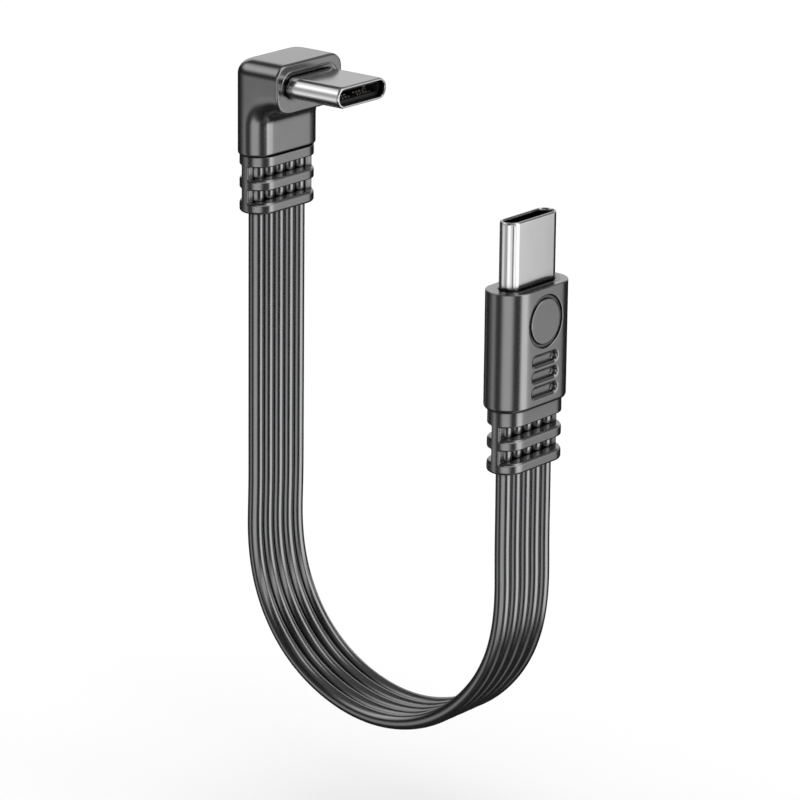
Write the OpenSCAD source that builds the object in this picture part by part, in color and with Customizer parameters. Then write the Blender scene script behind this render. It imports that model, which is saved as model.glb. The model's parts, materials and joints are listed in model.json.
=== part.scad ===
/* [Metal shells] */
// Width across the oval metal shell
shell_w = 8.25; // [8.15:0.01:8.35]
// Thickness across the oval metal shell
shell_t = 2.4; // [2.3:0.01:2.5]
// Length of shell that stands out of the moulded face
shell_out = 7.4; // [6.4:0.1:8]
// Sheet thickness of the shell
shell_wall = 0.3; // [0.2:0.05:0.35]

/* [Angled plug] */
// Width across the angled body
angled_w = 11.1; // [10.8:0.1:12]
// Height of the front face above the shell's axis
head_top = 2.65; // [2.5:0.05:3]
// Height of the front face below the shell's axis
head_low = 3; // [2.7:0.1:3.2]
// Depth from the front face to the back of the body
body_deep = 6.8; // [6.3:0.1:7]
// Thickness of the leg that goes down to the ribbon
leg_t = 4.3; // [4.3:0.1:4.6]
// Distance from the shell's axis down to the end of the body
leg_low = 8.05; // [7.6:0.05:9]
// Corner radius of the front face
head_r = 1.8; // [1:0.1:2.4]
// Radius of the hollow corner under the head
fillet_r = 1.5; // [0.6:0.1:1.8]

/* [Straight plug] */
// Width across the straight body
straight_w = 11.15; // [10.8:0.05:12]
// Thickness of the straight body
straight_t = 5.3; // [5:0.1:5.6]
// Height of the straight body
straight_h = 13.05; // [12.5:0.05:14]
// Outer diameter of the blank ring groove
ring_d = 5.9; // [4:0.1:6]
// Length of each pill recess
pill_w = 4.4; // [3:0.1:5]
// Height of each pill recess
pill_h = 1.25; // [0.8:0.05:1.4]
// Distance between neighbouring pill recesses
pill_pitch = 1.75; // [1.7:0.05:1.9]

/* [Strain reliefs] */
// Width across the strain reliefs
relief_w = 10.3; // [10:0.05:10.4]
// Thickness of the strain reliefs
relief_t = 4.3; // [4:0.05:4.3]
// Height of the collar under the angled body
angled_collar = 1.1; // [0.9:0.05:1.6]
// Height of the collar under the straight body
straight_collar = 1.6; // [0.9:0.05:1.8]
// Height of each window
window_h = 1.45; // [1.2:0.05:1.7]
// Height of each band
band_h = 1.15; // [0.8:0.05:1.2]

/* [Ribbon] */
// Distance between neighbouring ridges
ridge_pitch = 1.72; // [1.7:0.01:1.74]
// Diameter of each ridge
ridge_d = 1.7; // [1.6:0.05:1.75]
// Diameter of each insulated wire inside the ribbon
core_d = 0.65; // [0.5:0.05:0.65]

/* [Hidden] */
$fn = 64;

// The angled shell's axis is X and leaves the front face at the origin; the straight shell's axis
// is Z. Each plug's inner pieces are drawn with the shell's axis on +Z, its width on Y and the
// moulded face at z = 0.
ridges = 5;
ribbon_w = (ridges - 1) * ridge_pitch + ridge_d;
ribbon_t = ridge_d;
leg_x = -body_deep + leg_t / 2;

// Centre line of the ribbon in the X-Z plane, from inside the angled plug's relief, round the
// bend, to inside the straight plug's relief
route = [[-4.65, -7.15], [-4.65, -14.1], [-4.65, -21], [-4.65, -28], [-4.65, -35], [-4.65, -42],
    [-4.68, -47], [-4.72, -51.75], [-3.4, -58.4], [0.3, -64.15], [6, -67.95], [12.75, -69.35],
    [19.5, -67.98], [25.1, -64.2], [28.85, -58.45], [30.13, -51.75], [30.1, -47], [30.07, -42],
    [30.05, -36.6], [30.05, -28.5]];
straight_x = route[len(route) - 1].x;
straight_z = -17;

fit = 0.02;              // gap between pieces that are pressed or moulded together
wall = 0.9;              // wall of both housings
face_t = 1;              // thickness of the moulded front faces
mouth_edge = 0.1;        // bevel of the moulded face round the shell
carrier_in = 0.8;        // how far the carrier sits back from the shell's mouth
tongue_w = 6.9;          // slot for the socket's tongue
tongue_t = 1;
tongue_floor = 0.9;
contact_pitch = 0.5;
contact_w = 0.26;
contact_t = 0.12;
contact_x = 0.42;        // distance of a contact row from the shell's middle plane
board_t = 0.7;
board_w = 8;
can_wall = 0.15;
tip_d = 0.4;             // bare copper end of a wire
angled_rear = 2;         // shell behind the moulded face
straight_rear = 3.6;
angled_board_x = -3.6;   // front face of the angled plug's board
groove_w = 0.4;
groove_d = 0.3;
pill_d = 0.45;
band_edge = 0.25;        // chamfer round the top of each band
last_lip = 0.15;         // how much the last band is higher than the others
last_edge = 0.35;        // chamfer round its bottom
jacket_stop = 0.3;       // how far the ribbon's jacket ends below the top of a relief's neck
rail_t = 1.14;           // thickness of the rails that join a relief's bands
angled_rail_turn = 4;    // the angled relief's rails lie turned about its axis, in degrees
rail_reach = 0.4;        // how far the rails reach over the ribbon's edges
angled_neck = 1.25;      // height of a relief's neck inside its housing
straight_neck = 2;
ring_z = -3.6;           // ring groove and first pill, from the straight body's top
pill_z = -7.85;
can_x = [-5.35, -angled_rear - fit];
can_half_z = 1.45;
core_top_angled = -3.2;  // where the insulation of the wires ends
core_top_straight = straight_z - 8.6;

plastic = [0.18, 0.18, 0.19];
inner_plastic = [0.1, 0.1, 0.11];
steel = [0.8, 0.8, 0.82];
gold = [0.85, 0.68, 0.3];

// ---- outlines ----
// Stadium with its long side on Y
module oval(w, t) {
    square([t, w - t], center = true);
    for (s = [-1, 1]) translate([0, s * (w - t) / 2]) circle(d = t);
}

// Rectangle with round corners
module round_rect(w, h, r) {
    square([w - 2 * r, h], center = true);
    square([w, h - 2 * r], center = true);
    for (sx = [-1, 1], sy = [-1, 1])
        translate([sx * (w / 2 - r), sy * (h / 2 - r)]) circle(r = r);
}

module oval_prism(w, t, z0, z1) {
    translate([0, 0, z0]) linear_extrude(z1 - z0) oval(w, t);
}

// A profile, drawn as [distance from the end's axis, height], swept round a stadium whose end
// axes are 2 * half apart. A profile that reaches the axis makes a full solid.
module oval_sweep(half) {
    for (s = [-1, 1])
        translate([0, s * half, 0]) rotate([0, 0, s < 0 ? 180 : 0])
            rotate_extrude(angle = 180) children();
    for (s = [0, 180]) rotate([0, 0, s])
        translate([0, half, 0]) rotate([90, 0, 0]) linear_extrude(2 * half) children();
}

// Straight round bar between two points of the X-Z plane at one place along the width
module bar(a, b, y, d) {
    v = b - a;
    translate([a.x, y, a.y]) rotate([0, atan2(v.x, v.y), 0]) cylinder(d = d, h = norm(v));
}

// ---- pieces inside a plug, shell axis on +Z ----
module shell_tube(rear) {
    r = shell_t / 2;
    edge = 0.12;
    color(steel) oval_sweep((shell_w - shell_t) / 2)
        polygon([[r - shell_wall, -rear], [r, -rear], [r, shell_out - edge],
            [r - edge, shell_out], [r - shell_wall + edge / 2, shell_out],
            [r - shell_wall, shell_out - edge]]);
}

carrier_w = shell_w - 2 * shell_wall - 2 * fit;
carrier_t = shell_t - 2 * shell_wall - 2 * fit;
carrier_top = shell_out - carrier_in;
spring_w = 5.4;
spring_z = [3.2, 6.2];
spring_t = 0.08;
latch_y = tongue_w / 2 - 0.24;

module block(w, t, z0, z1, x = 0, y = 0) {
    translate([x - t / 2, y - w / 2, z0]) cube([t, w, z1 - z0]);
}

module carrier(rear) {
    slit = contact_t + 2 * fit;
    color(inner_plastic) difference() {
        oval_prism(carrier_w, carrier_t, -rear, carrier_top);
        block(tongue_w, tongue_t, tongue_floor, carrier_top + 1);
        for (s = [-1, 1]) {
            block(12 * contact_pitch + fit, slit, -rear - 1, tongue_floor + 1, s * contact_x);
            block(spring_w + 2 * fit, 2 * (spring_t + fit), spring_z[0] - fit,
                spring_z[1] + fit, s * carrier_t / 2);
        }
        block(tongue_w, 0.2, -rear - 1, tongue_floor + 1);
    }
}

// A row of spring contacts; bare lists the places in the row that are left empty
module contact_row(side, rear, bare = []) {
    color(gold) for (i = [0:11]) if (len(search(i, bare)) == 0)
        translate([0, (i - 5.5) * contact_pitch, 0]) {
            block(contact_w, contact_t, -rear, carrier_top - 0.5, side * contact_x);
            block(contact_w, 0.1, carrier_top - 1.6, carrier_top - 1.1,
                side * (contact_x - contact_t / 2 - 0.05));
        }
}

// Flat yoke in the middle plane with a side arm and hook at each end of the tongue slot
module latch(rear) {
    arm = 0.2;
    color(steel) {
        block(tongue_w - 0.04, 0.14, -rear + 0.3, 0.4);
        for (s = [-1, 1]) {
            block(arm, 0.14, 0.2, 1.4, 0, s * latch_y);
            block(arm, 0.6, 1.2, 5.2, 0, s * latch_y);
            block(arm + 0.15, 0.6, 4.6, 5, 0, s * (latch_y - 0.1));
        }
    }
}

module ground_springs() {
    color(steel) for (s = [-1, 1]) {
        x = s * (carrier_t / 2 - spring_t / 2);
        for (y = [-1, 0, 1])
            block(spring_w / 3 - 0.4, spring_t, spring_z[0] + 0.5, spring_z[1], x,
                y * (spring_w / 3));
        block(spring_w, spring_t, spring_z[0], spring_z[0] + 0.5, x);
    }
}

// ---- strain relief, hanging down from z = 0 ----
relief_half = (relief_w - relief_t) / 2;

// One band with a chamfer round its top, and round its bottom where low_edge is more than 0
module band(z0, z1, low_edge = 0) {
    r = relief_t / 2;
    oval_sweep(relief_half) polygon([[0, z0], [r - low_edge, z0], [r, z0 + low_edge],
        [r, z1 - band_edge], [r - band_edge, z1], [0, z1]]);
}

module relief(collar, rail_turn, neck_w, neck_t, neck_h) {
    pitch = window_h + band_h;
    length = collar + 2 * pitch + last_lip;
    color(plastic) difference() {
        union() {
            oval_prism(neck_w, neck_t, -0.01, neck_h);
            oval_prism(relief_w, relief_t, -collar, 0);
            band(-collar - pitch, -collar - window_h);
            band(-length, -collar - pitch - window_h, last_edge);
            intersection() {
                oval_prism(relief_w, relief_t, -length + last_edge, 0);
                rotate(-rail_turn) cube([rail_t, 2 * relief_w, 2 * length], center = true);
            }
        }
        oval_prism(ribbon_w + 2 * fit, ribbon_t + 2 * fit, -length - 1, neck_h - jacket_stop);
        for (i = [0:1])
            block(ribbon_w - 2 * rail_reach, relief_t + 1, -collar - i * pitch - window_h,
                -collar - i * pitch);
        for (i = [0:ridges - 1])
            translate([0, (i - (ridges - 1) / 2) * ridge_pitch, 0])
                cylinder(d = core_d + 0.1, h = neck_h + 1);
    }
}

// ---- housings ----
// Opening for the shell, with a bevelled edge, cut into a face at z = 0
module face_cut() {
    r = shell_t / 2 + fit;
    oval_prism(shell_w + 2 * fit, shell_t + 2 * fit, -face_t - 1, 1);
    oval_sweep((shell_w - shell_t) / 2) polygon([[r - 0.1, -mouth_edge], [r, -mouth_edge],
        [r + mouth_edge + 1, 1], [r - 0.1, 1]]);
}

module angled_body_solid() {
    edge = 0.35;
    back_r = 1;
    head_h = head_top + head_low;
    leg_half = (angled_w - leg_t) / 2;
    intersection() {
        translate([-body_deep, 0, (head_top - head_low) / 2]) rotate([90, 0, 90])
            linear_extrude(body_deep) round_rect(angled_w, head_h, head_r);
        translate([0, 0, -head_low]) linear_extrude(head_h) union() {
            translate([leg_x, 0]) oval(angled_w, leg_t);
            translate([leg_x, -angled_w / 2]) square([-leg_x, angled_w]);
        }
        rotate([90, 0, 0]) linear_extrude(angled_w + 2, center = true) difference() {
            translate([-body_deep, -head_low]) square([body_deep, head_h]);
            difference() {
                translate([-body_deep, head_top - back_r]) square(back_r);
                translate([-body_deep + back_r, head_top - back_r]) circle(r = back_r);
            }
        }
    }
    translate([leg_x, 0, 0]) oval_sweep(leg_half) polygon([[0, -leg_low],
        [leg_t / 2 - edge, -leg_low], [leg_t / 2, -leg_low + edge],
        [leg_t / 2, head_top - head_r], [0, head_top - head_r]]);
    rotate([90, 0, 0]) linear_extrude(2 * leg_half, center = true) difference() {
        translate([leg_x + leg_t / 2 - 0.2, -head_low - fillet_r])
            square([fillet_r + 0.2, fillet_r + 0.2]);
        translate([leg_x + leg_t / 2 + fillet_r, -head_low - fillet_r]) circle(r = fillet_r);
    }
}

// Hollow of the angled body, a box behind the face and an oval shaft down the leg to the height
// low, made smaller all round by gap
module angled_hollow(low, gap = 0) {
    inset = wall + gap;
    w = angled_w - 2 * inset;
    floor_z = -head_low + inset;
    corner = 0.2;
    translate([-body_deep + inset, -w / 2 + corner, floor_z])
        cube([body_deep - inset - face_t - gap, w - 2 * corner, head_top - inset - floor_z]);
    translate([leg_x, 0, 0]) oval_prism(w, leg_t - 2 * inset, low, 0);
}

module angled_housing() {
    color(plastic) difference() {
        angled_body_solid();
        angled_hollow(-leg_low - 1);
        rotate([0, 90, 0]) face_cut();
    }
}

module straight_housing() {
    edge = 0.5;
    r = straight_t / 2;
    half = (straight_w - straight_t) / 2;
    soft = 0.15;
    color(plastic) translate([straight_x, 0, straight_z]) difference() {
        oval_sweep(half) polygon([[0, 0], [r - soft, 0], [r, -soft], [r, -straight_h + edge],
            [r - edge, -straight_h], [0, -straight_h]]);
        oval_prism(straight_w - 2 * wall, straight_t - 2 * wall, -straight_h - 1, -face_t);
        face_cut();
        translate([r - groove_d, 0, ring_z]) rotate([0, 90, 0]) difference() {
            cylinder(d = ring_d, h = 1);
            translate([0, 0, -1]) cylinder(d = ring_d - 2 * groove_w, h = 3);
        }
        for (i = [0:2]) translate([r - pill_d, 0, pill_z - i * pill_pitch]) pill();
    }
}

module pill() {
    span = pill_w - pill_h;
    rotate([0, 90, 0]) union() {
        for (s = [-1, 1]) translate([0, s * span / 2, 0]) cylinder(d = pill_h, h = 1);
        translate([-pill_h / 2, -span / 2, 0]) cube([pill_h, span, 1]);
    }
}

// ---- angled plug ----
module at_angled() { rotate([0, 90, 0]) children(); }

angled_row_rear = -angled_board_x - fit;

module angled_shield_can() {
    w = board_w + 4 * can_wall;
    color(steel) difference() {
        translate([can_x[0], -w / 2, -can_half_z])
            cube([can_x[1] - can_x[0], w, 2 * can_half_z]);
        translate([can_x[0] + can_wall, -w / 2 + can_wall, -can_half_z + can_wall])
            cube([can_x[1] - can_x[0], w - 2 * can_wall, 2 * (can_half_z - can_wall)]);
        translate([can_x[0] + can_wall, -w / 2 + can_wall, -can_half_z - 1])
            cube([-angled_rear - 0.6 - can_x[0], w - 2 * can_wall, 2]);
    }
}

module angled_board() {
    color("darkgreen") translate([angled_board_x - board_t, -board_w / 2, -leg_low + 1.45])
        cube([board_t, board_w, 7.85]);
}

module angled_board_chips() {
    back = angled_board_x - board_t;
    color(inner_plastic) {
        translate([back - 0.5, -1.2, -0.75]) cube([0.5, 2.4, 1.7]);
        for (y = [-3.2, -2, 2, 3.2]) translate([back - 0.35, y - 0.25, -0.6]) cube([0.35, 0.5, 1]);
    }
}

module angled_wire_tips() {
    x = angled_board_x - board_t - tip_d / 2;
    color("peru") for (i = [0:ridges - 1])
        bar([x, core_top_angled], [x, core_top_angled + 0.9], (i - 2) * ridge_pitch, tip_d);
}

module angled_inner_mould() {
    color(inner_plastic) difference() {
        angled_hollow(-leg_low + angled_neck, fit);
        translate([can_x[0] - fit, -board_w / 2 - 2 * can_wall - fit, -can_half_z - fit])
            cube([8, board_w + 4 * can_wall + 2 * fit, 2 * (can_half_z + fit)]);
        translate([leg_x - 0.55, -board_w / 2 - fit, -leg_low]) cube([1.65, board_w + 2 * fit, 7.2]);
    }
}

module angled_relief() {
    translate([leg_x, 0, -leg_low]) relief(angled_collar, angled_rail_turn, angled_w - 2 * wall - 2 * fit,
        leg_t - 2 * wall - 2 * fit, angled_neck - fit);
}

// ---- straight plug ----
module at_straight() { translate([straight_x, 0, straight_z]) children(); }

can_w = straight_w - 2 * wall - 0.4;
can_t = straight_t - 2 * wall - 0.4;
can_z = [-10.4, -straight_rear - fit];
board_z = [-10, -straight_rear - 0.3];
straight_row_rear = straight_rear + 1.2;

module straight_shield_can() {
    color(steel) at_straight() difference() {
        oval_prism(can_w, can_t, can_z[0], can_z[1]);
        oval_prism(can_w - 2 * can_wall, can_t - 2 * can_wall, can_z[0] - 1, can_z[1] + 1);
    }
}

module straight_board() {
    color("darkgreen") at_straight() block(board_w, board_t, board_z[0], board_z[1]);
}

module straight_board_chips() {
    color(inner_plastic) at_straight() {
        block(2.4, 0.6, -9, -6.6, -board_t / 2 - 0.3);
        for (y = [-3.2, -2, 2, 3.2]) block(0.5, 0.35, -8.4, -7.4, -board_t / 2 - 0.175, y);
    }
}

module straight_wire_tips() {
    x = straight_x + board_t / 2 + tip_d / 2;
    color("peru") for (i = [0:ridges - 1])
        bar([x, core_top_straight], [x, core_top_straight + 1], (i - 2) * ridge_pitch, tip_d);
}

module straight_inner_mould() {
    color(inner_plastic) at_straight() difference() {
        oval_prism(straight_w - 2 * wall - 2 * fit, straight_t - 2 * wall - 2 * fit,
            -straight_h + straight_neck, -face_t - fit);
        oval_prism(shell_w + 2 * fit, shell_t + 2 * fit, -straight_rear - 1, 0);
        oval_prism(can_w + 2 * fit, can_t + 2 * fit, can_z[0] - fit, can_z[1] + fit);
        block(board_w, 2, -straight_h, can_z[0] + 1);
    }
}

module straight_relief() {
    translate([straight_x, 0, straight_z - straight_h]) relief(straight_collar, 0,
        straight_w - 2 * wall - 2 * fit, straight_t - 2 * wall - 2 * fit, straight_neck - fit);
}

// ---- ribbon and wires ----
// One ring between each pair of route points, on the smooth curve through them
function between(p, i) = let (n = len(p) - 1)
    (-p[max(i - 1, 0)] + 9 * p[i] + 9 * p[min(i + 1, n)] - p[min(i + 2, n)]) / 16;
function with_middles(p) = [for (i = [0:len(p) - 1]) each i < len(p) - 1
    ? [p[i], i == 0 || i == len(p) - 2 ? (p[i] + p[i + 1]) / 2 : between(p, i)] : [p[i]]];
function along(p, i) = let (v = p[min(i + 1, len(p) - 1)] - p[max(i - 1, 0)]) v / norm(v);
function ring(p, i, section) = let (t = along(p, i))
    [for (s = section) [p[i].x + s.y * t.y, s.x, p[i].y - s.y * t.x]];
function rings(p, section) = [for (i = [0:len(p) - 1]) each ring(p, i, section)];
// Stadium outline as [along the width, through the thickness], with steps sides on each end
function oval_points(w, t, steps) = [for (s = [1, -1]) for (k = [0:steps - 1])
    let (a = 180 * (k + 0.5) / steps - s * 90)
    [s * (w - t) / 2 + t / 2 * cos(a), t / 2 * sin(a)]];
function round_points(d, y, sides) = [for (k = [0:sides - 1])
    [y + d / 2 * cos(360 * k / sides), d / 2 * sin(360 * k / sides)]];
function skin(count, sides, first, flip) = [for (i = [0:count - 2], k = [0:sides - 1])
    let (a = first + i * sides + k, b = first + i * sides + (k + 1) % sides)
    flip ? [a, a + sides, b + sides, b] : [a, b, b + sides, a + sides]];

module solid_sweep(p, section) {
    n = len(section);
    polyhedron(rings(p, section), concat(skin(len(p), n, 0, false),
        [[for (k = [n - 1:-1:0]) k]], [[for (k = [0:n - 1]) (len(p) - 1) * n + k]]), 10);
}

module hollow_sweep(p, outer, inner) {
    n = len(outer);
    first = len(p) * n;
    last = (len(p) - 1) * n;
    rim = [for (k = [0:n - 1]) let (j = (k + 1) % n) each
        [[k, first + k, first + j, j], [last + k, last + j, first + last + j, first + last + k]]];
    polyhedron(concat(rings(p, outer), rings(p, inner)),
        concat(skin(len(p), n, 0, false), skin(len(p), n, first, true), rim), 10);
}

module ribbon_jacket() {
    slot_t = core_d + 0.16;
    slot_w = (ridges - 1) * ridge_pitch + slot_t;
    color(plastic) hollow_sweep(with_middles(route), oval_points(ribbon_w, ribbon_t, 6),
        oval_points(slot_w, slot_t, 6));
}

module wire_cores() {
    n = len(route);
    jog = board_t / 2 + core_d / 2 + 0.03;
    up = [route[n - 1].x, straight_z - straight_h + straight_neck];
    start = [[leg_x, core_top_angled], [leg_x, -leg_low + angled_neck]];
    finish = [up, [up.x + jog, up.y + 0.8], [up.x + jog, core_top_straight]];
    path = concat(start, with_middles(route), finish);
    color("dimgray") for (i = [0:ridges - 1])
        solid_sweep(path, round_points(core_d, (i - (ridges - 1) / 2) * ridge_pitch, 8));
}

at_angled() shell_tube(angled_rear);  // angled_shell
at_angled() carrier(angled_rear);  // angled_carrier
at_angled() contact_row(-1, angled_row_rear);  // angled_upper_contacts
at_angled() contact_row(1, angled_row_rear, [5, 6]);  // angled_lower_contacts
at_angled() latch(angled_rear);  // angled_latch
at_angled() ground_springs();  // angled_ground_springs
angled_shield_can();
angled_board();
angled_board_chips();
angled_wire_tips();
angled_inner_mould();
angled_housing();
angled_relief();
at_straight() shell_tube(straight_rear);  // straight_shell
at_straight() carrier(straight_rear);  // straight_carrier
at_straight() contact_row(-1, straight_row_rear);  // straight_upper_contacts
at_straight() contact_row(1, straight_row_rear, [5, 6]);  // straight_lower_contacts
at_straight() latch(straight_rear);  // straight_latch
at_straight() ground_springs();  // straight_ground_springs
straight_shield_can();
straight_board();
straight_board_chips();
straight_wire_tips();
straight_inner_mould();
straight_housing();
straight_relief();
ribbon_jacket();
wire_cores();
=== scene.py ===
"""Short ribbon charging cable: an angled plug, a straight plug, and a flat five-ridge ribbon that
hangs as a U between them. Shapes are worked out in millimetres and built in metres."""

import json
import math

import bpy
import numpy as np
from mathutils import Matrix, Vector


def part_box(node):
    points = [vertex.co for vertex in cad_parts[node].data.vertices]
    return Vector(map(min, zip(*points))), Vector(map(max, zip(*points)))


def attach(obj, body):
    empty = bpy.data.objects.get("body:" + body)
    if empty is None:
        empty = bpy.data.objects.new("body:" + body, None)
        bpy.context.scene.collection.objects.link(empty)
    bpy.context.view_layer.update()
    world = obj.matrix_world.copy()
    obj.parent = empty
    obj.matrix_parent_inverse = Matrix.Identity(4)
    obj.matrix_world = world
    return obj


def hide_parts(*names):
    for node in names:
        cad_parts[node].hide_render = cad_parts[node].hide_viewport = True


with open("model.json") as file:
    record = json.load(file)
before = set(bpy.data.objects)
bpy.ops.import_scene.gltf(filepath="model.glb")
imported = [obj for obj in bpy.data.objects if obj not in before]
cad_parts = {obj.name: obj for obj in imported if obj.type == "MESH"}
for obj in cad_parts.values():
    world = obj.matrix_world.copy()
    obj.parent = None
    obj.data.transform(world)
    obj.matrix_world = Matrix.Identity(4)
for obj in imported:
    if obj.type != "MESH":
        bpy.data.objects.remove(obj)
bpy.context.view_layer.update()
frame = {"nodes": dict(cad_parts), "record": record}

MM = 0.001


# ---------------------------------------------------------------- places, from the frame, in mm
def node_box(name):
    """Lowest and highest corner of a CAD node, in millimetres."""
    low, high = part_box(name)
    return np.array(low) / MM, np.array(high) / MM


SHELL_LOW, SHELL_HIGH = node_box("angled_shell")
SHELL_W = SHELL_HIGH[1] - SHELL_LOW[1]
SHELL_T = SHELL_HIGH[2] - SHELL_LOW[2]
HEAD_LOW, HEAD_HIGH = node_box("angled_housing")
BODY_LOW, BODY_HIGH = node_box("straight_housing")
STRAIGHT_X = (BODY_LOW[0] + BODY_HIGH[0]) / 2
STRAIGHT_Z = BODY_HIGH[2]
LEG_T = 4.3
LEG_X = HEAD_LOW[0] + LEG_T / 2


# ---------------------------------------------------------------- camera
def make_camera():
    """Camera at the viewing angle, aimed by its distance and by where its axis passes."""
    azimuth, elevation, roll = math.radians(38.80), math.radians(17.14), math.radians(0.62)
    distance, right_by, up_by = 485.02, 9.79, -34.37
    focal, sensor = 201.35, 36.0
    back = Vector((math.sin(azimuth) * math.cos(elevation),
                   -math.cos(azimuth) * math.cos(elevation), math.sin(elevation)))
    flat_right = Vector((math.cos(azimuth), math.sin(azimuth), 0))
    flat_up = back.cross(flat_right)
    right = flat_right * math.cos(roll) + flat_up * math.sin(roll)
    up = flat_up * math.cos(roll) - flat_right * math.sin(roll)
    data = bpy.data.cameras.new("camera")
    data.lens, data.sensor_width = focal, sensor
    data.clip_start, data.clip_end = 0.01, 10.0
    camera = bpy.data.objects.new("camera", data)
    place = (right * right_by + up * up_by + back * distance) * MM
    turn = Matrix((right, up, back)).transposed().to_4x4()
    camera.matrix_world = Matrix.Translation(place) @ turn
    bpy.context.scene.collection.objects.link(camera)
    bpy.context.scene.camera = camera


# ---------------------------------------------------------------- node material helpers
def new_material(name):
    """A node material, with its tree and its main shader."""
    material = bpy.data.materials.new(name)
    material.use_nodes = True
    tree = material.node_tree
    shader = tree.nodes["Principled BSDF"]
    return material, tree, shader


def link(tree, source, target):
    tree.links.new(source, target)


def noise(tree, scale, detail=2.0, rough=0.5, stretch=(1, 1, 1)):
    """Noise in the piece's own space; scale is waves per metre."""
    place = tree.nodes.new("ShaderNodeTexCoord")
    mapping = tree.nodes.new("ShaderNodeMapping")
    mapping.inputs["Scale"].default_value = stretch
    texture = tree.nodes.new("ShaderNodeTexNoise")
    texture.inputs["Scale"].default_value = scale
    texture.inputs["Detail"].default_value = detail
    texture.inputs["Roughness"].default_value = rough
    link(tree, place.outputs["Object"], mapping.inputs["Vector"])
    link(tree, mapping.outputs["Vector"], texture.inputs["Vector"])
    return texture.outputs["Fac"]


def spread(tree, value, low, high):
    """Maps 0.3 to 0.7 of a noise to the range from low to high."""
    node = tree.nodes.new("ShaderNodeMapRange")
    node.inputs["From Min"].default_value = 0.3
    node.inputs["From Max"].default_value = 0.7
    node.inputs["To Min"].default_value = low
    node.inputs["To Max"].default_value = high
    link(tree, value, node.inputs["Value"])
    return node.outputs["Result"]


def tint(tree, value, dark, light):
    """Colour between two greys or colours, chosen by a noise."""
    mix = tree.nodes.new("ShaderNodeMix")
    mix.data_type = "RGBA"
    mix.inputs["A"].default_value = (*dark, 1)
    mix.inputs["B"].default_value = (*light, 1)
    link(tree, value, mix.inputs["Factor"])
    return mix.outputs["Result"]


def bump(tree, shader, value, height):
    """Bump of a real height in metres."""
    node = tree.nodes.new("ShaderNodeBump")
    node.inputs["Distance"].default_value = height
    link(tree, value, node.inputs["Height"])
    link(tree, node.outputs["Normal"], shader.inputs["Normal"])


def painted_corner_shade(tree, colour, reach, depth, shut_at, open_from):
    """Paints shade into a colour: darkens it to depth where less than shut_at of the space within
    reach is open, and leaves it alone above open_from, so tight corners and hollows look shaded
    and less glossy."""
    corner = tree.nodes.new("ShaderNodeAmbientOcclusion")
    corner.samples = 8
    corner.inputs["Distance"].default_value = reach
    level = tree.nodes.new("ShaderNodeMapRange")
    level.inputs["From Min"].default_value = shut_at
    level.inputs["From Max"].default_value = open_from
    level.inputs["To Min"].default_value = depth
    link(tree, corner.outputs["AO"], level.inputs["Value"])
    mix = tree.nodes.new("ShaderNodeMix")
    mix.data_type = "RGBA"
    mix.inputs["A"].default_value = (0, 0, 0, 1)
    link(tree, level.outputs["Result"], mix.inputs["Factor"])
    link(tree, colour, mix.inputs["B"])
    return mix.outputs["Result"]


def grained(name, dark, light, rough, metallic, grain, height, stretch=(1, 1, 1), corner=None,
            coat=0.0):
    """A surface whose colour, roughness and height vary with a fine grain, in waves per metre.
    corner holds the reach, depth and limits of the shade painted into tight corners."""
    material, tree, shader = new_material(name)
    shader.inputs["Metallic"].default_value = metallic
    shader.inputs["Coat Weight"].default_value = coat
    shader.inputs["Coat Roughness"].default_value = rough[0]
    fine = noise(tree, grain, 3.0, 0.6, stretch)
    broad = noise(tree, grain / 12)
    colour = tint(tree, broad, dark, light)
    # painted shade: the colour is darkened where the surface is hemmed in by nearby geometry
    if corner:
        colour = painted_corner_shade(tree, colour, *corner)
    link(tree, colour, shader.inputs["Base Color"])
    link(tree, spread(tree, fine, rough[0], rough[1]), shader.inputs["Roughness"])
    bump(tree, shader, fine, height)
    return material


# Each corner setting paints shade into the colour: pills, ring groove, window sills and ridge
# valleys are darkened as if shaded.
PLASTIC_DARK, PLASTIC_LIGHT = (0.27, 0.27, 0.275), (0.30, 0.30, 0.305)
GUNMETAL = grained("gunmetal_moulding", PLASTIC_DARK, PLASTIC_LIGHT, (0.20, 0.25), 1.0,
                   grain=5000, height=0.15e-6, corner=(0.0005, 0.20, 0.50, 0.95), coat=0.3)
RELIEF_GUNMETAL = grained("relief_moulding", PLASTIC_DARK, PLASTIC_LIGHT, (0.20, 0.26), 1.0,
                          grain=5000, height=0.25e-6, corner=(0.0013, 0.25, 0.35, 0.95), coat=0.3)
RIBBON_GUNMETAL = grained("ribbon_moulding", PLASTIC_DARK, PLASTIC_LIGHT, (0.17, 0.22), 1.0,
                          grain=4000, height=0.3e-6, stretch=(1, 1, 0.15),
                          corner=(0.0007, 0.05, 0.45, 0.80), coat=0.3)
# painted shade: the shell's colour darkens at its foot beside the moulding, standing in for a dark
# reflection there
NICKEL = grained("nickel_shell", (0.72, 0.72, 0.73), (0.78, 0.78, 0.79), (0.14, 0.18), 1.0,
                 grain=6000, height=0.1e-6, corner=(0.0024, 0.08, 0.62, 0.73))
SPRING = grained("spring_steel", (0.55, 0.55, 0.56), (0.68, 0.68, 0.69), (0.18, 0.32), 1.0,
                 grain=9000, height=0.5e-6, stretch=(1, 1, 0.1))
GOLD = grained("gold_contact", (0.38, 0.36, 0.32), (0.52, 0.495, 0.45), (0.25, 0.38), 1.0,
               grain=12000, height=0.3e-6)
COPPER = grained("bare_copper", (0.75, 0.38, 0.24), (0.90, 0.50, 0.33), (0.2, 0.35), 1.0,
                 grain=9000, height=1e-6, stretch=(1, 1, 0.1))
INSULATOR = grained("insulator", (0.004, 0.004, 0.0045), (0.009, 0.009, 0.010), (0.42, 0.58), 0.0,
                    grain=9000, height=1.5e-6)
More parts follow.
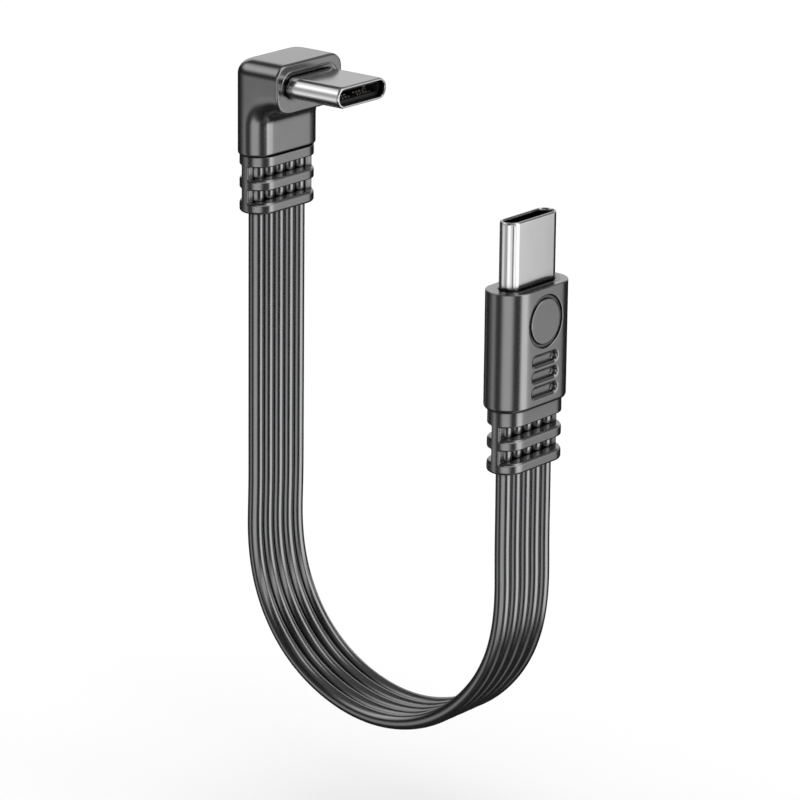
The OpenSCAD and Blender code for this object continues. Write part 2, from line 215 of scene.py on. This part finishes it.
INNER_MOULD = grained("inner_mould", (0.02, 0.02, 0.021), (0.035, 0.035, 0.036), (0.45, 0.6), 0.0,
                      grain=5000, height=3e-6)
BOARD = grained("board_mask", (0.01, 0.09, 0.035), (0.015, 0.14, 0.05), (0.25, 0.4), 0.0,
                grain=4000, height=2e-6)
CHIP = grained("chip_mould", (0.018, 0.018, 0.019), (0.035, 0.035, 0.037), (0.5, 0.65), 0.0,
               grain=15000, height=2e-6)
WIRE = grained("wire_insulation", (0.05, 0.05, 0.055), (0.09, 0.09, 0.095), (0.35, 0.5), 0.0,
               grain=4000, height=2e-6, stretch=(1, 1, 0.2))


def finish_piece(obj, material, slot, *replaced):
    """Gives a piece its material and body, and hides the CAD nodes it stands for; slot is not
    used.
    """
    obj.data.materials.clear()
    obj.data.materials.append(material)
    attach(obj, "root")
    if replaced:
        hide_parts(*replaced)
    return obj


# ---------------------------------------------------------------- swept pieces
def build_mesh(name, points, faces):
    """A smooth-shaded object from points in millimetres."""
    mesh = bpy.data.meshes.new(name)
    mesh.from_pydata(np.asarray(points) * MM, [], faces)
    mesh.update()
    mesh.polygons.foreach_set("use_smooth", np.ones(len(mesh.polygons), bool))
    obj = bpy.data.objects.new(name, mesh)
    bpy.context.scene.collection.objects.link(obj)
    return obj


def grid_faces(rows, columns, wrap_rows=False, offset=0):
    """Quads over a grid of points whose columns close on themselves."""
    faces = []
    for i in range(rows if wrap_rows else rows - 1):
        a, b = offset + i * columns, offset + (i + 1) % rows * columns
        for k in range(columns):
            n = (k + 1) % columns
            faces.append((a + k, a + n, b + n, b + k))
    return faces


def smooth_curve(points, step):
    """Points every step along a natural cubic spline through the route's points."""
    p = np.array(points, float)
    t = np.concatenate([[0], np.cumsum(np.linalg.norm(np.diff(p, axis=0), axis=1))])
    n, h = len(p), np.diff(t)
    system, target = np.eye(n), np.zeros((n, p.shape[1]))
    for i in range(1, n - 1):
        system[i, i - 1:i + 2] = h[i - 1], 2 * (h[i - 1] + h[i]), h[i]
        target[i] = 6 * ((p[i + 1] - p[i]) / h[i] - (p[i] - p[i - 1]) / h[i - 1])
    bend = np.linalg.solve(system, target)
    s = np.linspace(0, t[-1], int(t[-1] / step) + 1)
    i = np.clip(np.searchsorted(t, s, side="right") - 1, 0, n - 2)
    a, b, w = (t[i + 1] - s)[:, None], (s - t[i])[:, None], h[i][:, None]
    return ((a ** 3 * bend[i] + b ** 3 * bend[i + 1]) / (6 * w)
            + (p[i] / w - bend[i] * w / 6) * a + (p[i + 1] / w - bend[i + 1] * w / 6) * b)


# The cord's centre line in the X-Z plane, the same list as in part.scad, in millimetres
ROUTE = [(-4.65, -7.15), (-4.65, -14.1), (-4.65, -21), (-4.65, -28), (-4.65, -35), (-4.65, -42),
         (-4.68, -47), (-4.72, -51.75), (-3.4, -58.4), (0.3, -64.15), (6, -67.95), (12.75, -69.35),
         (19.5, -67.98), (25.1, -64.2), (28.85, -58.45), (30.13, -51.75), (30.1, -47),
         (30.07, -42), (30.05, -36.6), (30.05, -28.5)]
RIDGES = 5
RIDGE_PITCH = 1.72
RIDGE_R = 0.86
WEB_HALF = 0.2           # half the thickness of the web between two ridges
CORE_D = 0.65            # outer diameter of one wire
CORE_GAP = 0.08          # room round each wire


def ribbon_section():
    """Outline of the ribbon as (along its width, through its thickness)."""
    turn = math.acos(WEB_HALF / RIDGE_R)
    side = []
    for i in range(RIDGES):
        middle = (i - (RIDGES - 1) / 2) * RIDGE_PITCH
        first = -math.pi / 2 if i == 0 else -turn
        last = math.pi / 2 if i == RIDGES - 1 else turn
        steps = 18
        for k in range(steps + 1):
            angle = first + (last - first) * k / steps
            side.append((middle + RIDGE_R * math.sin(angle), RIDGE_R * math.cos(angle)))
    back = [(-y, -x) for y, x in side]
    return side + back[1:-1]


def slot_section(outer):
    """Outline of the hollow for the wires, point for point inside the outline round it."""
    scale = (CORE_D / 2 + CORE_GAP) / RIDGE_R
    last = (RIDGES - 1) / 2 * RIDGE_PITCH
    points = []
    for across, out in outer:
        reach = min(abs(across), last) + max(abs(across) - last, 0) * scale
        points.append((math.copysign(reach, across), out * scale))
    return points


def rings_along(curve, section):
    """Points of a section carried along a curve in the X-Z plane."""
    along = np.gradient(curve, axis=0)
    along /= np.linalg.norm(along, axis=1)[:, None]
    return [(x + out * tz, across, z - out * tx) for (x, z), (tx, tz) in zip(curve, along)
            for across, out in section]


def make_ribbon(wires):
    """Flat jacket with five ridges outside and one slot for the wires inside."""
    curve = smooth_curve(ROUTE, 0.45)
    outer = ribbon_section()
    inner = slot_section(outer)
    rows, n = len(curve), len(outer)
    first = rows * n
    faces = grid_faces(rows, n)
    faces += [face[::-1] for face in grid_faces(rows, n, offset=first)]
    for k in range(n):
        m = (k + 1) % n
        faces.append((m, k, first + k, first + m))
        a, b = first - n + k, first - n + m
        faces.append((a, b, first + b, first + a))
    obj = build_mesh("ribbon", rings_along(curve, outer) + rings_along(curve, inner), faces)
    obj.data.set_sharp_from_angle(angle=math.radians(40))
    finish_piece(obj, RIBBON_GUNMETAL, "ribbon", "ribbon_jacket")


def make_wires():
    """Five insulated wires, from one plug's board to the other's."""
    sides, jog_steps, jog_low, jog_rise = 12, 8, -28.1, 1 / 9
    high = node_box("wire_cores")[1]
    tip_x, tip_z = high[0] - CORE_D / 2, STRAIGHT_Z - 8.6
    start = [(LEG_X, high[2]), (LEG_X, -5), (LEG_X, -6.5)]
    jog = []
    for k in range(jog_steps + 1):
        aside = (1 - math.cos(math.pi * k / jog_steps)) / 2
        jog.append((STRAIGHT_X + (tip_x - STRAIGHT_X) * aside, jog_low + k * jog_rise))
    curve = np.array([*start, *smooth_curve(ROUTE, 1.0), *jog, (tip_x, tip_z)])
    points, faces = [], []
    for i in range(RIDGES):
        middle = (i - (RIDGES - 1) / 2) * RIDGE_PITCH
        first = len(points)
        round_wire = [(middle + CORE_D / 2 * math.sin(2 * math.pi * k / sides),
                       CORE_D / 2 * math.cos(2 * math.pi * k / sides)) for k in range(sides)]
        points += rings_along(curve, round_wire)
        faces += grid_faces(len(curve), sides, offset=first)
        faces.append(tuple(first + k for k in reversed(range(sides))))
        faces.append(tuple(len(points) - sides + k for k in range(sides)))
    obj = build_mesh("wires", points, faces)
    obj.data.set_sharp_from_angle(angle=math.radians(50))
    return finish_piece(obj, WIRE, "wire", "wire_cores")


# ---------------------------------------------------------------- metal shells
def oval(width, thick, steps=40):
    """Outline of a stadium as (through the thickness, along the width)."""
    r, half = thick / 2, (width - thick) / 2
    points = []
    for end in (1, -1):
        for k in range(steps + 1):
            angle = math.pi * k / steps + (0 if end > 0 else math.pi)
            points.append((r * math.cos(angle), end * half + r * math.sin(angle)))
    return points


def shell_profile(rear, out):
    """Profile of the shell's wall as (distance in from the outside, height): up the outside, over
    the rounded rim and a little way down the inside."""
    wall, lead, rim, bevel_in, bevel_down, inside = 0.3, 0.32, 0.13, 0.05, 0.06, 0.4
    rises, folds = 6, 8
    profile = [(wall, -rear), (0, -rear)]
    profile += [(0, -rear + (out + rear - lead) * k / rises) for k in range(1, rises + 1)]
    for k in range(1, folds + 1):
        a = math.pi / 2 * k / folds
        profile.append((rim * (1 - math.cos(a)), out - lead + lead * math.sin(a)))
    profile.append((wall - bevel_in, out))
    profile.append((wall, out - bevel_down))
    profile.append((wall, out - inside))
    return profile


def make_shell(name, node, rear, out, place):
    """Deep-drawn oval tube; place turns (thickness, width, height) into the row's frame."""
    points, ring = [], None
    for inset, height in shell_profile(rear, out):
        ring = oval(SHELL_W - 2 * inset, SHELL_T - 2 * inset)
        points += [place(a, b, height) for a, b in ring]
    rows = len(points) // len(ring)
    obj = build_mesh(name, points, grid_faces(rows, len(ring), wrap_rows=True))
    obj.data.set_sharp_from_angle(angle=math.radians(50))
    return finish_piece(obj, NICKEL, "nickel_shell", node)


# ---------------------------------------------------------------- moulded pieces
# A moulding is the zero surface of a distance function, so every edge has its true radius.
def length2(a, b):
    """Length of the vector (a, b)."""
    return np.sqrt(a * a + b * b)


def above_zero(t, ease=0.0):
    """The part of t above 0, with the start eased in over about that length."""
    if ease == 0:
        return np.maximum(t, 0)
    return (t + length2(t, ease)) / 2


def both(a, b, r=0.0, ease=0.0):
    """Where two shapes overlap, with a round edge of radius r that may run softly into them."""
    if r == 0:
        return np.maximum(a, b)
    return (np.minimum(-r, np.maximum(a, b))
            + length2(above_zero(r + a, ease), above_zero(r + b, ease)))


def either(a, b, r=0.0):
    """Two shapes together, with a hollow corner of radius r."""
    return -both(-a, -b, r)


def cut(a, b, r=0.0):
    """The first shape without the second, with a round edge of radius r."""
    return both(a, -b, r)


def oval_distance(a, b, width, thick, ease=0.0):
    """Distance from a stadium with its width along b; ease softens where its ends begin."""
    half = (width - thick) / 2
    return length2(a, above_zero(np.abs(b) - half, ease)) - thick / 2


def gradient(shape, p):
    """Slope of a distance function at each point."""
    h = 0.004
    g = np.empty_like(p)
    for axis in range(3):
        step = np.zeros(3)
        step[axis] = h
        g[:, axis] = shape(*(p + step).T) - shape(*(p - step).T)
    return g / (2 * h)


def cell_points(v, ids, axes):
    """Mean crossing point of the surface with the edges of each cell that it passes through."""
    total, count = np.zeros((len(ids), 3)), np.zeros((len(ids), 1))
    corners = [(i, j, k) for i in (0, 1) for j in (0, 1) for k in (0, 1)]
    for a in corners:
        for axis in range(3):
            if a[axis]:
                continue
            b = tuple(1 if n == axis else a[n] for n in range(3))
            ia, ib = (ids + a).T, (ids + b).T
            va, vb = v[tuple(ia)], v[tuple(ib)]
            pa = np.stack([axes[n][ia[n]] for n in range(3)], 1)
            pb = np.stack([axes[n][ib[n]] for n in range(3)], 1)
            hit = (va < 0) != (vb < 0)
            t = np.where(hit, va / np.where(hit, va - vb, 1), 0)[:, None]
            total += np.where(hit[:, None], pa + t * (pb - pa), 0)
            count += hit[:, None]
    return total / count


def net_faces(inside, number):
    """One quad round each grid edge that the surface crosses."""
    quads = []
    for axis in range(3):
        u, w = (axis + 1) % 3, (axis + 2) % 3
        low, high = [slice(1, -1)] * 3, [slice(1, -1)] * 3
        low[axis], high[axis] = slice(0, -1), slice(1, None)
        first, second = inside[tuple(low)], inside[tuple(high)]
        cell = np.argwhere(first != second)
        out = first[tuple(cell.T)]
        cell[:, u] += 1
        cell[:, w] += 1
        ring = []
        for du, dw in ((-1, -1), (0, -1), (0, 0), (-1, 0)):
            c = cell.copy()
            c[:, u] += du
            c[:, w] += dw
            ring.append(number[tuple(c.T)])
        ring = np.stack(ring, 1)
        quads += [ring[out], ring[~out][:, ::-1]]
    return np.concatenate(quads)


def moulded(name, shape, axes):
    """Mesh of a distance function over a grid, with its points and normals exact."""
    rounds, furthest, flattest = 4, 0.04, 0.2
    v = shape(*np.meshgrid(*axes, indexing="ij", sparse=True))
    inside = v < 0
    count = sum(inside[i:len(axes[0]) - 1 + i, j:len(axes[1]) - 1 + j, k:len(axes[2]) - 1 + k]
                .astype(np.int8) for i in (0, 1) for j in (0, 1) for k in (0, 1))
    ids = np.argwhere((count > 0) & (count < 8))
    number = np.full(count.shape, -1)
    number[tuple(ids.T)] = np.arange(len(ids))
    points = cell_points(v, ids, axes)
    for _ in range(rounds):
        g = gradient(shape, points)
        square = np.maximum((g * g).sum(1), flattest)
        points -= np.clip(shape(*points.T) / square, -furthest, furthest)[:, None] * g
    normals = gradient(shape, points)
    normals /= np.linalg.norm(normals, axis=1)[:, None]
    quads = net_faces(inside, number)
    mesh = bpy.data.meshes.new(name)
    mesh.vertices.add(len(points))
    mesh.vertices.foreach_set("co", (points * MM).ravel())
    mesh.loops.add(quads.size)
    mesh.loops.foreach_set("vertex_index", quads.ravel().astype(np.int32))
    mesh.polygons.add(len(quads))
    mesh.polygons.foreach_set("loop_start", np.arange(len(quads), dtype=np.int32) * 4)
    mesh.update(calc_edges=True)
    mesh.polygons.foreach_set("use_smooth", np.ones(len(quads), bool))
    mesh.normals_split_custom_set_from_vertices([tuple(n) for n in normals])
    obj = bpy.data.objects.new(name, mesh)
    bpy.context.scene.collection.objects.link(obj)
    return obj


def spaced(*stops):
    """Grid positions: a start, then (end, step) for each stretch."""
    values, at = [stops[0]], stops[0]
    for end, step in stops[1:]:
        n = max(1, round((end - at) / step))
        values += [at + (end - at) * k / n for k in range(1, n + 1)]
        at = end
    return np.array(values)


SEAT_GAP, SEAT_DEEP, SEAT_EDGE = 0.03, 2.2, 0.03
BEAD_OUT, BEAD_R, BEAD_BLEND = 0.5, 0.12, 0.05
BEAD_SUNK, BEAD_FADE, FADE_FROM, FADE_OVER = 0.07, 0.08, 0.3, 0.9


def shell_seat(face, height, through, along):
    """Opening for the metal shell in a face at height 0, beside a low bead. The bead sinks as
    through falls below FADE_FROM, and is inside the face from FADE_OVER further on."""
    tube = oval_distance(through, along, SHELL_W, SHELL_T)
    sunk = BEAD_SUNK + BEAD_FADE * np.clip((FADE_FROM - through) / FADE_OVER, 0, 1)
    bead = length2(tube - BEAD_OUT, height + sunk) - BEAD_R
    hole = both(tube - SEAT_GAP, -height - SEAT_DEEP)
    return cut(either(face, bead, BEAD_BLEND), hole, SEAT_EDGE)


def angled_body(x, y, z):
    """Right-angle housing: a head over a leg, with a hollow corner between them."""
    width = HEAD_HIGH[1] - HEAD_LOW[1]
    front, back, top, bottom = HEAD_HIGH[0], HEAD_LOW[0], HEAD_HIGH[2], HEAD_LOW[2]
    underside, leg_front = -3.0, LEG_X + LEG_T / 2
    round_r, top_r, hollow_r, front_r, bottom_r, ease = LEG_T / 2, 1.7, 1.6, 0.28, 0.4, 0.5
    side = np.abs(y) - width / 2
    inner_corner = either(underside - z, x - leg_front, hollow_r)
    plan = both(side, back - x, round_r, ease)
    body = both(plan, inner_corner, round_r, ease)
    body = both(body, z - top, top_r)
    body = both(body, x - front, front_r)
    body = both(body, bottom - z, bottom_r)
    return shell_seat(body, x - front, z, y)


# Ring groove and pill recesses, with heights measured down from the straight housing's top face
RING_Z, RING_R, RING_W, RING_DEEP, RING_EDGE = -3.7, 2.68, 0.4, 0.3, 0.1
PILLS, PILL_Z, PILL_PITCH = 3, -7.85, 1.73
PILL_W, PILL_H, PILL_DEEP, PILL_EDGE, PILL_FLOOR_R = 4.05, 0.9, 0.58, 0.38, 0.2


def straight_body(x, y, z):
    """Straight housing: an upright oval block with the ring and the pills in its front."""
    top_r, bottom_r, ease = 0.12, 0.5, 0.6
    width, thick = BODY_HIGH[1] - BODY_LOW[1], BODY_HIGH[0] - BODY_LOW[0]
    height = BODY_HIGH[2] - BODY_LOW[2]
    x, z = x - STRAIGHT_X, z - STRAIGHT_Z
    body = oval_distance(x, y, width, thick, ease)
    body = both(body, z, top_r)
    body = both(body, -height - z, bottom_r)
    depth = thick / 2 - x
    ring = np.abs(length2(y, z - RING_Z) - RING_R) - RING_W / 2
    body = cut(body, both(ring, depth - RING_DEEP, RING_EDGE), RING_EDGE)
    for i in range(PILLS):
        pill = oval_distance(z - PILL_Z + i * PILL_PITCH, y, PILL_W, PILL_H)
        body = cut(body, both(pill, depth - PILL_DEEP, PILL_FLOOR_R), PILL_EDGE)
    return shell_seat(body, z, x, y)


RELIEF_W, RELIEF_T = 10.3, 4.3
WINDOW_ROWS, WINDOW_H, WINDOW_EDGE = 2, 1.45, 0.18
BAND_H, BAND_EDGE, LAST_EDGE = 1.15, 0.12, 0.35
RAIL_T = 1.14            # thickness of the slab that is left standing at each end of a window
MIDDLE_HALF = 3.9        # half the width over which nothing but the ribbon fills the windows
RIBBON_GAP = 0.08        # room round the ribbon, both sides together


def relief_shape(middle_x, top_z, collar, turn, low_z):
    """Strain relief as a distance function: an oval tube with two rows of windows. Its rails are
    turned about its own axis, and low_z is its lower end, measured from top_z."""
    top_r, rail_r, slot_r, ease = 0.06, 0.1, 0.05, 0.4
    lowered = 0.06           # how far each window's upper edge lies below the CAD model's
    turn_x, turn_y = math.cos(turn), math.sin(turn)

    def shape(x, y, z):
        x, z = x - middle_x, z - top_z
        outer = oval_distance(x, y, RELIEF_W, RELIEF_T, ease)
        body = both(outer, z, top_r)
        body = both(body, low_z - z, LAST_EDGE)
        for i in range(WINDOW_ROWS):
            high = -collar - lowered - i * (WINDOW_H + BAND_H)
            low = high - WINDOW_H + lowered
            sill = np.minimum(low - z, (low - z - outer - BAND_EDGE) * math.sqrt(0.5))
            rail = RAIL_T / 2 - np.abs(x * turn_x - y * turn_y)
            window = both(both(z - high, sill), rail, rail_r)
            middle = both(both(z - high, low - z), np.abs(y) - MIDDLE_HALF)
            body = cut(body, either(window, middle), WINDOW_EDGE)
        slot = oval_distance(x, y, RIDGES * RIDGE_PITCH + RIBBON_GAP, 2 * RIDGE_R + RIBBON_GAP)
        return cut(body, slot, slot_r)

    return shape


def make_mouldings():
    """Both housings and both reliefs, each over a grid that is finest where its detail is."""
    coarse, middling, fine, row, past = 0.1, 0.08, 0.05, 0.07, 0.15
    top, side = HEAD_HIGH[2] + past, HEAD_HIGH[1] + past
    axes = (spaced(HEAD_LOW[0] - past, (-1.8, coarse), (-0.5, middling), (0.1, fine)),
            spaced(-side, (side, middling)), spaced(HEAD_LOW[2] - past, (top, middling)))
    head = finish_piece(moulded("angled_moulding", angled_body, axes), GUNMETAL, "moulding",
                        "angled_housing")
    side = BODY_HIGH[1] + past
    axes = (spaced(BODY_LOW[0] - past, (STRAIGHT_X + 1.9, coarse), (BODY_HIGH[0] + 0.1, fine)),
            spaced(-side, (side, middling)),
            spaced(BODY_LOW[2] - past, (STRAIGHT_Z - 0.6, middling), (STRAIGHT_Z + 0.1, fine)))
    body = finish_piece(moulded("straight_moulding", straight_body, axes), GUNMETAL, "moulding",
                        "straight_housing")
    pieces = [head, body]
    side, half = round(RELIEF_W / 2 + past, 2), round(RELIEF_T / 2 + past, 2)
    for prefix, middle, collar, turn in (("angled", LEG_X, 1.1, math.radians(4)),
                                         ("straight", STRAIGHT_X, 1.6, 0)):
        low, _ = node_box(prefix + "_relief")
        top = node_box(prefix + "_housing")[0][2]
        shape = relief_shape(middle, top, collar, turn, low[2] - top)
        axes = (spaced(middle - half, (middle + half, middling)), spaced(-side, (side, middling)),
                spaced(low[2] - 0.1, (top + 0.1, row)))
        pieces.append(finish_piece(moulded(prefix + "_relief_moulding", shape, axes),
                                   RELIEF_GUNMETAL, "relief_moulding", prefix + "_relief"))
    return pieces


# ---------------------------------------------------------------- CAD pieces that stay
SLOT_MATERIALS = {"insulator": INSULATOR, "gold_contact": GOLD, "spring_steel": SPRING,
                  "board": BOARD, "chip": CHIP, "copper": COPPER, "inner_mould": INNER_MOULD,
                  "wire": WIRE}


def paint_cad_nodes():
    """Gives each CAD node that no piece replaces the material of its slot in the record."""
    for part in frame["record"]["subparts"]:
        material = SLOT_MATERIALS.get(part["material_slot"])
        if material:
            node = frame["nodes"][part["node"]]
            node.data.materials.clear()
            node.data.materials.append(material)


# ---------------------------------------------------------------- light and floor
def math_node(tree, operation, *values):
    """Output of a math node; a value is a number or another node's output."""
    node = tree.nodes.new("ShaderNodeMath")
    node.operation = operation
    for socket, value in zip(node.inputs, values):
        if isinstance(value, (int, float)):
            socket.default_value = value
        else:
            link(tree, value, socket)
    return node.outputs[0]


def soft_band(tree, angle, centre, half, edge):
    """1 within half of centre, falling smoothly to 0 over edge, all in degrees."""
    away = math_node(tree, "SUBTRACT", angle, centre)
    away = math_node(tree, "ABSOLUTE", math_node(tree, "WRAP", away, 180.0, -180.0))
    node = tree.nodes.new("ShaderNodeMapRange")
    node.interpolation_type = "SMOOTHSTEP"
    node.inputs["From Min"].default_value = half + edge / 2
    node.inputs["From Max"].default_value = half - edge / 2
    link(tree, away, node.inputs["Value"])
    return node.outputs["Result"]


# What glossy surfaces reflect: azimuth of the centre, half width, soft edge, elevation of the
# centre, half height, soft edge, all in degrees, and brightness. An upright face seen from the
# camera reflects the side at an elevation of -17, and a level one the back at 17.
SOFTBOXES = [
    (24, 19, 16, -14, 20, 14, 1.60),
    (51.5, 7, 5, -14, 20, 8, 0.59),
    (-60, 25, 22, -19, 15, 14, 0.90),
    (-131, 11, 16, -24, 16, 26, 0.55),
    (-152, 8, 16, -19, 16, 14, 0.14),
    (-150, 32, 24, 39, 14, 22, 1.10),
    (124, 34, 16, 18, 16, 12, 0.56),
    (-25, 40, 20, 10, 8, 12, 0.90),
    (88, 26, 16, 6, 5, 6, 0.90),
    (75, 20, 14, 36, 8, 12, 0.35),
    (22, 22, 14, 45, 34, 14, 1.35),
    (18, 25, 16, -64, 22, 14, 0.30),
    (-45, 90, 40, -19, 30, 20, 0.03),
    (0, 180, 1, 75, 25, 30, 0.14),
]
STUDIO_DARK = 0.012


def make_world():
    """Plain white to the camera and to matt surfaces, and the dark studio to glossy ones."""
    world = bpy.data.worlds.new("studio")
    bpy.context.scene.world = world
    world.use_nodes = True
    tree = world.node_tree
    tree.nodes.clear()
    place = tree.nodes.new("ShaderNodeTexCoord")
    split = tree.nodes.new("ShaderNodeSeparateXYZ")
    link(tree, place.outputs["Generated"], split.inputs[0])
    x, y, z = split.outputs
    azimuth = math_node(tree, "DEGREES", math_node(tree, "ARCTAN2", y, x))
    elevation = math_node(tree, "DEGREES", math_node(tree, "ARCSINE", z))
    total = STUDIO_DARK
    for across, half_w, edge_w, up, half_h, edge_h, level in SOFTBOXES:
        box = math_node(tree, "MULTIPLY", soft_band(tree, azimuth, across, half_w, edge_w),
                        soft_band(tree, elevation, up, half_h, edge_h))
        total = math_node(tree, "MULTIPLY_ADD", box, level, total)
    studio = tree.nodes.new("ShaderNodeBackground")
    link(tree, total, studio.inputs["Color"])
    plain = tree.nodes.new("ShaderNodeBackground")
    plain.inputs["Color"].default_value = (1, 1, 1, 1)
    plain.inputs["Strength"].default_value = 1.08
    kind = tree.nodes.new("ShaderNodeLightPath")
    choose = tree.nodes.new("ShaderNodeMixShader")
    link(tree, kind.outputs["Is Glossy Ray"], choose.inputs[0])
    link(tree, plain.outputs[0], choose.inputs[1])
    link(tree, studio.outputs[0], choose.inputs[2])
    output = tree.nodes.new("ShaderNodeOutputWorld")
    link(tree, choose.outputs[0], output.inputs["Surface"])


def make_softbox(name, azimuth, elevation, width, height, level, pieces):
    """Area light that only the named pieces see; angles are in degrees from the object."""
    distance, aim = 0.6, Vector((0.012, 0, -0.025))
    a, e = math.radians(azimuth), math.radians(elevation)
    away = Vector((math.cos(a) * math.cos(e), math.sin(a) * math.cos(e), math.sin(e)))
    data = bpy.data.lights.new(name, "AREA")
    data.shape = "RECTANGLE"
    data.size = 2 * distance * math.tan(math.radians(width / 2))
    data.size_y = 2 * distance * math.tan(math.radians(height / 2))
    data.energy = level * math.pi * data.size * data.size_y
    light = bpy.data.objects.new(name, data)
    light.location = aim + away * distance
    light.rotation_euler = away.to_track_quat("Z", "Y").to_euler()
    light.visible_camera = False
    bpy.context.scene.collection.objects.link(light)
    lit = bpy.data.collections.new(name + "_receivers")
    for piece in pieces:
        lit.objects.link(piece)
    light.light_linking.receiver_collection = lit


def make_floor():
    """White floor, far enough down that the ribbon's shadow is as faint as in the photo."""
    drop = 12.0
    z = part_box("ribbon_jacket")[0].z - drop * MM
    size = 3.0
    mesh = bpy.data.meshes.new("floor")
    mesh.from_pydata([(-size, -size, z), (size, -size, z), (size, size, z), (-size, size, z)], [],
                     [(0, 1, 2, 3)])
    floor = bpy.data.objects.new("floor", mesh)
    bpy.context.scene.collection.objects.link(floor)
    material, _, shader = new_material("floor_white")
    shader.inputs["Base Color"].default_value = (0.95, 0.95, 0.95, 1)
    shader.inputs["Roughness"].default_value = 1.0
    shader.inputs["Specular IOR Level"].default_value = 0.0
    mesh.materials.append(material)
    floor.visible_glossy = False
    floor.visible_shadow = False


make_camera()
make_ribbon(make_wires())
angled_tube = make_shell("angled_tube", "angled_shell", -SHELL_LOW[0], SHELL_HIGH[0],
                         lambda a, b, h: (h, b, -a))
straight_low, straight_high = node_box("straight_shell")
straight_tube = make_shell("straight_tube", "straight_shell", STRAIGHT_Z - straight_low[2],
                           straight_high[2] - STRAIGHT_Z,
                           lambda a, b, h: (STRAIGHT_X + a, b, STRAIGHT_Z + h))
mouldings = make_mouldings()
tubes = [angled_tube, straight_tube]
make_softbox("tube_light", -10, -18, 22, 24, 1.2, tubes)
make_softbox("tube_side_light", -120, 10, 60, 74, 0.38, tubes)
make_softbox("stripe_light", -72, -15, 30, 44, 0.4, [straight_tube])
make_softbox("face_light", 51, -15, 30, 50, 0.055, [straight_tube])
make_softbox("top_light", 129, 18, 50, 30, 0.25, mouldings)
paint_cad_nodes()
make_world()
make_floor()
bpy.context.scene.view_settings.view_transform = "Standard"
